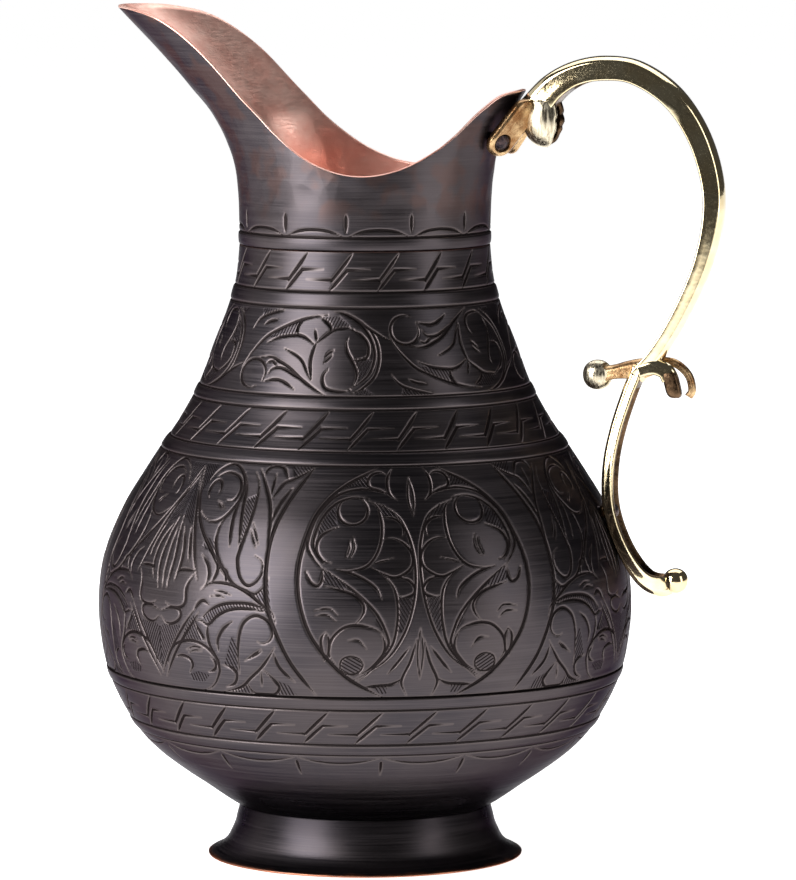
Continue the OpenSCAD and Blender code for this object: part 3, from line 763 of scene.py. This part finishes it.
# the foot: a thin flared ring, worn bright where it stands
foot_columns = 480
outer_foot = run(FOOT[::-1], 10)
inner_foot = (outer_foot - WALL * normals(outer_foot))[::-1]
inner_foot = inner_foot[inner_foot[:, 1] > 0.7 - DATUM]
foot_edge = [[50.4, 0.05 - DATUM], [50.9, -DATUM], [51.2, 0.02 - DATUM]]
foot_loop = sample(np.concatenate([[[51.6, 0.12 - DATUM]], outer_foot, inner_foot, foot_edge]), 0.5)
points = spun(foot_loop, foot_columns)
faces = [grid_faces(len(foot_loop), foot_columns), last_faces(len(foot_loop), foot_columns)]
foot = mesh("foot_ring_look", points, faces, [COPPER_PLAIN])
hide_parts("foot_ring")
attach(foot, "root")

# ---- the collar: an egg-shaped section that opens upwards ---------------------------------------

COLLAR = 600
rim_x = (PEAK_REACH - TIP_REACH) / 2 - (PEAK_REACH + TIP_REACH) / 2 * np.cos(np.linspace(0, math.pi, 400))
rim_z = table(RIM, rim_x)
rim_r = np.where(rim_x < 0, table(FRONT, rim_z), table(REAR, rim_z))
rim_angle = np.arccos(np.clip(-rim_x / rim_r, -1, 1))
rim_angle[0], rim_angle[-1] = 0, math.pi
angle = np.arange(COLLAR) / COLLAR * TURN
rim_height = np.interp(math.pi - np.abs(angle - math.pi), np.maximum.accumulate(rim_angle), rim_z)


def collar_surface(z):
    """Points of the collar's outside for heights z[row, column]."""
    reach = np.where(np.cos(angle) > 0, table(FRONT, z), table(REAR, z))
    return np.stack([-np.cos(angle) * reach, -np.sin(angle) * table(SIDE, z), z], -1)


low_rows, high_rows, plain_from = 36, 70, 211.0
t = np.linspace(0, 1, high_rows + 1)[1:, None]
z = np.concatenate([np.repeat(np.linspace(NECK_SEAM, plain_from, low_rows + 1)[:, None], COLLAR, 1),
                    plain_from + (rim_height - plain_from) * t])
collar = collar_surface(z)
across = np.roll(collar, -1, 1) - np.roll(collar, 1, 1)
upward = collar_surface(z + 0.1) - collar_surface(z - 0.1)
out = np.cross(across, upward)
out /= np.linalg.norm(out, axis=2)[..., None]
rows_profile = np.stack([np.full(len(z), 41.1), z[:, 0]], 1)
rows_profile[low_rows + 1:, 1] = np.linspace(plain_from, 240, high_rows + 1)[1:]
e = Engraving(rows_profile, (180 + np.degrees(angle) - CAMERA_TURN + 180) % 360 - 180, 360)
for k in range(12):
    u = 21.5 + 30 * k
    e.line([(u, 208.2), (u, 202.4)], half=0.5, thin=(0.2, 0.4))
    e.line([(u + 0.6, 200.9), (u + 7, 202.7), (u + 15, 203.3), (u + 23, 202.7), (u + 29.4, 200.9)], half=0.4)
far = np.abs(rows_profile[:, 1] - 200.8)
e.edge = np.minimum(e.edge, (far - RING_LINE)[:, None])
middle, half = (NECK_SEAM + 200.8) / 2, (200.8 - NECK_SEAM) / 2
crown = CROWN * np.sqrt(np.clip(1 - ((rows_profile[:, 1] - middle) / half) ** 2, 0, 1))
# shallow facets left by the planishing hammer
rng = np.random.default_rng(7)
blows = np.stack([rng.uniform(0, TURN, 330), rng.uniform(208, 268, 330)], 1)
dents = np.zeros(z.shape)
for a, h in blows:
    turned = (angle - a + math.pi) % TURN - math.pi
    d2 = ((turned * 43) ** 2 + (z - h) ** 2) / rng.uniform(14, 34)
    dents = np.maximum(dents, rng.uniform(0.5, 1) * np.exp(-d2))
dents *= DENT * smoothstep(205, 212, z)
sink = DEPTH * smoothstep(0.2, -0.3, e.edge) - crown[:, None] + dents
outer = collar - out * sink[..., None]
flat = out.copy()
flat[0, :, 2] = 0
flat[0] /= np.linalg.norm(flat[0], axis=1)[:, None]
inner_rows = np.r_[0:low_rows:6, low_rows:len(z):2, len(z) - 1]
inner_rows = np.unique(inner_rows)[::-1]
rim_run = across[-1] / np.linalg.norm(across[-1], axis=1)[:, None]
rim = (collar[-1] - out[-1] * WALL / 2) + np.cross(out[-1], rim_run) * 0.35
inner = (collar - flat * WALL - out * (dents * 0.8)[..., None])[inner_rows]
points = np.concatenate([outer, rim[None], inner])
loop = len(points)
faces = [grid_faces(loop, COLLAR), last_faces(loop, COLLAR)]
kind = np.repeat([0, 1], [(len(z) - 1) * COLLAR, (loop - len(z) + 1) * COLLAR])
pad = np.full((loop - len(z), COLLAR), 2.0)
attributes = {"edge": np.concatenate([e.edge, pad]), "hatch": np.full((loop, COLLAR), -2.0),
              "phase": np.zeros((loop, COLLAR))}
spout = mesh("spout_collar_look", points.reshape(-1, 3), faces, [COPPER, BARE], kind, attributes)
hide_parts("spout_collar")
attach(spout, "root")

# ---- the handle: a casting with a crowned outside, sharp arrises and a hollow back --------------

GRIP = [(56.5, 240.5), (63, 248), (71, 252.7), (80.5, 254.4), (91, 253), (102.5, 245.6), (111, 233.5),
        (115.8, 219), (116.2, 206), (112.8, 191), (106, 175.5), (98.5, 163), (91.5, 154.6)]
GRIP_THICK = [10, 8.5, 7.4, 7.2, 6.8, 6.4, 6.2, 6, 5.6, 5, 4.6, 4.4, 4.6]
TAIL = [(91.4, 158), (90.2, 154), (88.2, 149), (84.6, 138), (82.3, 127), (81.9, 115.5), (83.8, 106),
        (88, 96.5), (93.6, 89), (99.4, 86.6), (104, 87.8)]
TAIL_THICK = [4.4, 4.6, 4.6, 4.6, 4.6, 4.6, 4.7, 5.0, 5.9, 7.3, 8.0]
HALF_WIDTH = [(80, 4.5), (125, 4.5), (165, 4.5), (200, 5), (238, 4.8), (246, 5.6), (262, 6)]
EAR_TURN, EAR_TILT = 40, 20          # how far an ear faces away from the handle's plane, and its lean
POLISHED, DULL, BRUSHED, DARK = 0, 1, 2, 3
rough = np.random.default_rng(11)


def wander(n, scale, size):
    """A smooth closed random curve of n values."""
    x = np.arange(n) / n * TURN
    value = sum(rough.normal() * np.cos(k * x + rough.uniform(0, TURN)) for k in range(1, scale))
    return value * size / math.sqrt(scale)


def section(half, thick, hollow, crown, web):
    """(across, out) points of the bar: crowned face, arris, slightly hollow side, rim, channel."""
    top, low = thick / 2, -thick / 2
    draft = 0.12 * half
    arc = [((half - draft) * math.sin(a), top - crown + crown * math.cos(a))
           for a in np.radians([0, 18, 36, 54, 68, 79, 86])]
    depth = (top - web - low) * hollow
    edge = min(1.1, half * 0.28)
    down = [(half - draft, top - crown - 0.12), (half - 0.94 * draft, top - crown - 0.5),
            (half - 0.6 * draft, (top - crown + low) / 2), (half, low + 0.5), (half - 0.1, low + 0.15),
            (half - 0.4, low), (half - edge, low + 0.04),
            (half - edge - 0.25, low + min(0.3, depth)), (half - edge - 0.45, low + depth * 0.6),
            (half - edge - 0.9, low + depth * 0.93), (0.4 * half, low + depth), (0.2 * half, low + depth)]
    right = arc + down
    return np.array(right + [(0, low + depth)] + [(-a, b) for a, b in right[:0:-1]])


def bar(line, thick, widths, crown, web, open_from, open_to, flip=False, steps=10, ragged=0.12, cap=0.0):
    """A bar along a run of (x, z) points: its points, its faces and the finish of each face.

    The back is hollow from the share open_from of the length to open_to; cap rounds off the last end.
    """
    p = run(line, steps)
    t = np.gradient(p, axis=0)
    t /= np.linalg.norm(t, axis=1)[:, None]
    out = np.stack([-t[:, 1], t[:, 0]], 1) * (-1 if flip else 1)
    share = np.linspace(0, 1, len(p))
    thickness = table(list(enumerate(thick)), share * (len(thick) - 1))
    half = table(widths, p[:, 1])
    hollow = smoothstep(open_from, open_from + 0.07, share) * (1 - smoothstep(open_to - 0.07, open_to, share))
    rows = []
    for i in range(len(p)):
        s = section(half[i], thickness[i], hollow[i], crown * thickness[i], web)
        s[15:20, 1] += rough.normal(0, ragged, 5) * 0.5
        s[-19:-14, 1] += rough.normal(0, ragged, 5) * 0.5
        if cap:
            near = min(1, (share[-1] - share[i]) * len(p) / steps / cap)
            s *= math.sqrt(max(0.02, 1 - (1 - near) ** 2))
        rows.append(np.stack([p[i, 0] + out[i, 0] * s[:, 1], s[:, 0], p[i, 1] + out[i, 1] * s[:, 1]], 1))
    points = np.array(rows)
    n = points.shape[1]
    faces = grid_faces(len(p), n, flip=not flip)
    turned = -1 if flip else 1
    ends = [np.arange(n)[None, ::turned], (np.arange(n) + (len(p) - 1) * n)[None, ::-turned]]
    column = np.tile(np.arange(n), len(p) - 1)
    dull = ((column >= 11) & (column <= n - 12)) * DARK      # the rims and the channel
    return points.reshape(-1, 3), [faces] + ends, np.concatenate([dull, [DARK, DARK]])


def blob(centre, radii, square=2.0, rows=18, columns=28, rough_by=0.0, shear=None):
    """A closed rounded body; square above 2 makes it blockier."""
    lat = np.linspace(-math.pi / 2, math.pi / 2, rows + 1)[1:-1]
    lon = np.arange(columns) / columns * TURN

    def power(v):
        return np.sign(v) * np.abs(v) ** (2 / square)
    level = power(np.cos(lat))
    body = np.stack([np.outer(level, power(np.cos(lon))), np.outer(level, power(np.sin(lon))),
                     np.repeat(power(np.sin(lat))[:, None], columns, 1)], -1)
    body += rough.normal(0, 1, body.shape) * rough_by / max(radii)
    points = np.concatenate([body.reshape(-1, 3), [[0, 0, -1], [0, 0, 1]]]) * np.array(radii)
    n = (rows - 1) * columns
    j = np.arange(columns)
    k = (j + 1) % columns
    fans = [np.stack([j, np.full(columns, n), k], 1),
            np.stack([j + n - columns, k + n - columns, np.full(columns, n + 1)], 1)]
    if shear is not None:
        points = points @ np.array(shear).T
    return points + np.array(centre), [grid_faces(rows - 1, columns)] + fans


def ear(side, loops=56):
    """A riveted ear: plate with a rounded edge, a countersunk hole for the rivet's head."""
    root = np.array([-9.6, -side * 6.2])
    length = np.linalg.norm(root)
    ahead = root / length
    across = np.array([-ahead[1], ahead[0]])
    a = np.arange(loops) / loops * TURN
    shape = 5.0 + wander(loops, 5, 0.22)
    along = np.where(np.cos(a) > 0, length, 0) + shape * np.cos(a)
    plate = ahead * along[:, None] + across * (shape * np.sin(a))[:, None]
    inward = -np.stack([np.cos(a), np.sin(a)], 1)
    inward = ahead * inward[:, :1] + across * inward[:, 1:]
    hole = ahead * np.cos(a)[:, None] + across * np.sin(a)[:, None]
    wave = wander(loops, 7, 0.12)[:, None]
    rings = [(plate + inward * 0.8, -2.6), (plate, -2.1), (plate + inward * 0.05, -0.9),
             (plate + inward * 0.3, -0.35), (plate + inward * 0.9, -0.05)]
    for share in (0.3, 0.6):
        rings.append(((plate + inward * 0.9) * (1 - share) + hole * 3.8 * share, 0.05))
    rings += [(hole * 3.6, 0.1), (hole * 3.2, 0.0), (hole * 3.0, -0.25), (hole * 3.0, -1.2),
              (hole * 1.56, -1.2),
              (hole * 1.56, -2.6)]
    uneven = [wave if -1 < z <= 0.05 and i < 8 else 0 for i, (p, z) in enumerate(rings)]
    local = np.array([np.concatenate([p, np.full((loops, 1), z) + w], 1) for (p, z), w in zip(rings, uneven)])
    turn, tilt = math.radians(side * EAR_TURN), math.radians(90 + EAR_TILT)
    about_y = np.array([[math.cos(tilt), 0, math.sin(tilt)], [0, 1, 0], [-math.sin(tilt), 0, math.cos(tilt)]])
    about_z = np.array([[math.cos(turn), -math.sin(turn), 0], [math.sin(turn), math.cos(turn), 0], [0, 0, 1]])
    points = local.reshape(-1, 3) @ (about_z @ about_y).T + np.array([48.6, side * 9.7, 230])
    return points, [grid_faces(len(rings), loops), last_faces(len(rings), loops)]


def scroll(centre, radii, wall, columns=72, outside=16, inside=12):
    """The cupped scroll under the root: closed towards the vessel, open towards the grip."""
    lon = np.arange(columns) / columns * TURN
    away = np.sin(lon)
    # how far towards the grip the rim reaches, with a notch at the bottom
    reach = 0.30 + 0.38 * away ** 2 + 0.12 * np.maximum(0, np.cos(lon))
    reach -= 0.55 * np.exp(-((lon - math.pi + 0.12) / 0.27) ** 2)
    ragged = np.interp(np.arange(columns), np.arange(0, columns, 2), rough.normal(0, 0.03, columns // 2))
    rim = np.arccos(np.clip(reach + ragged * (0.6 + 0.8 * (away > 0.3)), -0.4, 0.8))
    rows = []
    for step in range(outside):
        angle = math.pi - (math.pi - rim) * (step + 1) / outside
        rows.append((angle, 0.0))
    for step in range(inside):
        angle = rim + (math.pi - 0.2 - rim) * step / inside
        rows.append((angle, wall))
    points = []
    for angle, less in rows:
        size = np.array(radii) - less
        sideways = np.sign(away) * (np.sin(angle) * np.abs(away)) ** 0.86      # a little boxier than round
        points.append(np.stack([size[0] * np.cos(angle), size[1] * sideways,
                                size[2] * np.sin(angle) * np.cos(lon)], 1))
    n = len(points) * columns
    points = np.concatenate(points + [[[-radii[0], 0, 0], [wall * 2 - radii[0], 0, 0]]]) + np.array(centre)
    j = np.arange(columns)
    k = (j + 1) % columns
    last = n - columns
    faces = [grid_faces(outside + inside, columns), np.stack([j, np.full(columns, n), k], 1),
             np.stack([j + last, k + last, np.full(columns, n + 1)], 1)]
    row = np.repeat(np.arange(outside + inside - 1), columns)
    kinds = np.concatenate([np.where(row >= outside - 1, DARK, BRUSHED), np.full(columns, BRUSHED),
                            np.full(columns, DARK)])
    return points, faces, kinds


def gather(name, parts, materials, node):
    """One object from several closed parts: (points, faces, material index or indices)."""
    points, faces, kinds, start = [], [], [], 0
    for p, f, kind in parts:
        points.append(p)
        count = sum(len(x) for x in f)
        faces += [np.asarray(x) + start for x in f]
        kinds.append(np.full(count, kind) if np.isscalar(kind) else kind)
        start += len(p)
    piece = mesh(name, np.concatenate(points), faces, materials, np.concatenate(kinds))
    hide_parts(node)
    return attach(piece, "root")


def outward(points, faces):
    """Turns the faces over if the closed part's volume comes out negative."""
    total = 0.0
    for f in faces:
        f = np.asarray(f)
        a = points[f[:, 0]]
        for i in range(1, f.shape[1] - 1):
            total += np.einsum("ij,ij->i", a, np.cross(points[f[:, i]], points[f[:, i + 1]])).sum()
    return [np.asarray(f)[:, ::-1] for f in faces] if total < 0 else faces


def hollowed(points, faces, cutter_points, cutter_faces):
    """The first solid less the second, as points and faces."""
    objects = []
    for name, p, f in (("solid", points, faces), ("cutter", cutter_points, cutter_faces)):
        objects.append(mesh(name, p, outward(p, f), []))
    solid, cutter = objects
    change = solid.modifiers.new("cut", "BOOLEAN")
    change.operation, change.object, change.solver = "DIFFERENCE", cutter, "EXACT"
    bpy.context.view_layer.update()
    result = solid.evaluated_get(bpy.context.evaluated_depsgraph_get()).to_mesh()
    out = np.array([v.co for v in result.vertices]) / MM - np.array([0, 0, DATUM])
    loops = [np.array([list(f.vertices)]) for f in result.polygons]
    for ob in objects:
        data = ob.data
        bpy.data.objects.remove(ob)
        bpy.data.meshes.remove(data)
    return out, loops


def part(points, faces, kind):
    return points, outward(points, faces), kind


parts = []
grip = bar(GRIP, [t + 0.7 for t in GRIP_THICK], HALF_WIDTH, 0.3, 2.3, 0.12, 0.95)
parts.append(part(*grip))
tail = bar(TAIL, TAIL_THICK, HALF_WIDTH, 0.34, 1.5, 0.14, 0.93, flip=True, cap=1.2)
parts.append(part(*tail))
parts.append(part(*scroll((60.4, 0, 237.8), (7.4, 6.5, 9.4), 1.5)))
for side in (-1, 1):
    parts.append(part(*ear(side), DULL))
# knot: lobe with a small dimple, rough web, two horns
lobe = blob((78, 0, 155), (4.9, 4.6, 4.9), 2.1, 22, 34)
dimple = blob((81.6, -2.6, 158.2), (1.5, 2.6, 1.4), 2.0, 12, 16)
parts.append(part(*hollowed(*lobe, *dimple), BRUSHED))
parts.append(part(*bar([(79.5, 155.4), (84, 156.2), (88, 156.9), (92.5, 157.4), (96, 157.6)],
                       [5.0, 4.6, 5.6, 6.4, 5.0],
                       [(150, 3.4), (162, 3.4)], 0.42, 2.0, 2, 3, steps=8)[:2], DULL))
near_horn = bar([(92, 157), (97, 158.2), (101, 157), (102.6, 154.5)], [4.8, 5.0, 5.2, 5.4],
                [(140, 2.2), (170, 2.2)], 0.4, 1.0, 2, 3, steps=8)
parts.append(part(near_horn[0] + np.array([0, -2.6, 0]), near_horn[1], near_horn[2]))
# the near horn's sawn end
parts.append(part(*blob((103.2, -2.7, 152.6), (2.5, 2.3, 4.4), 4.0, 14, 24, rough_by=0.05,
                        shear=[[1, 0, -0.24], [0, 1, 0], [0, 0, 1]]), DARK))
far_horn = bar([(92, 157), (97, 159.4), (103, 159.2), (107.6, 155.4), (108.9, 150.6), (107.8, 148.4)],
               [4.4, 3, 2.6, 2.4, 2.4, 2.6], [(140, 1.7), (170, 1.7)], 0.4, 1.0, 2, 3, steps=8)
parts.append(part(far_horn[0] + np.array([0, 2.1, 0]), far_horn[1], DULL))
parts.append(part(*blob((104.0, 0, 88.4), (4.1, 4.5, 4.1), 2.1, 20, 30), POLISHED))
parts.append(part(*blob((81.0, 0, 110.6), (2.6, 2.4, 2.4), 2.4, 14, 20), DARK))
gather("handle_look", parts, [BRASS, BRASS_ROUGH, BRASS_BRUSHED, BRASS_DARK], "handle")

for name in ("rivet_near", "rivet_far", "rivet_lower", "burr_near", "burr_far", "burr_lower"):
    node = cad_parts[name]
    node.data.materials.clear()
    node.data.materials.append(BARE if name.startswith("burr") else RIVET)

# ---- stage --------------------------------------------------------------------------------------

FAR = 2e4                  # half the width of the floor
floor = mesh("floor", [(x, y, -DATUM - 0.2) for x, y in ((-FAR, -FAR), (FAR, -FAR), (FAR, FAR), (-FAR, FAR))],
             [np.array([[0, 1, 2, 3]])], [glow_and_shade_floor()])

camera = bpy.data.cameras.new("camera")
camera_ob = bpy.data.objects.new("camera", camera)
bpy.context.scene.collection.objects.link(camera_ob)
turn = math.radians(90 + CAMERA_TURN)
DISTANCE, ABOVE = 1.980, 0.334       # of the camera, from the axis and above the datum, in metres
ASIDE, AIM_HEIGHT = 0.01082, 0.1317  # of the point in the middle of the picture
HALF_SEEN = 440 / 3050               # metres from there to the top of the picture
eye = Vector((DISTANCE * math.sin(turn), -DISTANCE * math.cos(turn), ABOVE + DATUM * MM))
aim = Vector((ASIDE * math.cos(turn), ASIDE * math.sin(turn), AIM_HEIGHT + DATUM * MM))
camera_ob.location = eye
camera_ob.rotation_euler = (aim - eye).to_track_quat("-Z", "Y").to_euler()
camera.sensor_fit = "VERTICAL"
camera.sensor_height = 24
camera.lens = camera.sensor_height / 2 * (aim - eye).length / HALF_SEEN
bpy.context.scene.camera = camera_ob


def softbox(name, azimuth, distance, height, width, tall, energy):
    """A rectangular light, azimuth degrees round from the photographed side, aimed at the jug's middle."""
    data = bpy.data.lights.new(name, "AREA")
    data.shape = "RECTANGLE"
    data.size, data.size_y = width, tall
    data.energy = energy
    ob = bpy.data.objects.new(name, data)
    bpy.context.scene.collection.objects.link(ob)
    a = math.radians(CAMERA_TURN + azimuth)
    ob.location = (distance * math.cos(a), distance * math.sin(a), height)
    ob.rotation_euler = (Vector((0, 0, 0.14)) - ob.location).to_track_quat("-Z", "Y").to_euler()


softbox("key_left", -54, 1.5, 0.55, 1.0, 1.5, 44)
softbox("side_left", -118, 1.4, 0.55, 1.5, 1.4, 3.5)
softbox("fill_right", 62, 1.6, 0.5, 0.5, 1.4, 6)
softbox("top", 175, 0.9, 1.7, 2.2, 1.4, 20)

world = bpy.data.worlds.new("studio")
bpy.context.scene.world = world
world.use_nodes = True
nodes, links = world.node_tree.nodes, world.node_tree.links
back = nodes["Background"]
back.inputs["Strength"].default_value = 0.06
back.inputs["Color"].default_value = colour(1.0, 1.0, 1.0)
bpy.context.scene.view_settings.view_transform = "Standard"
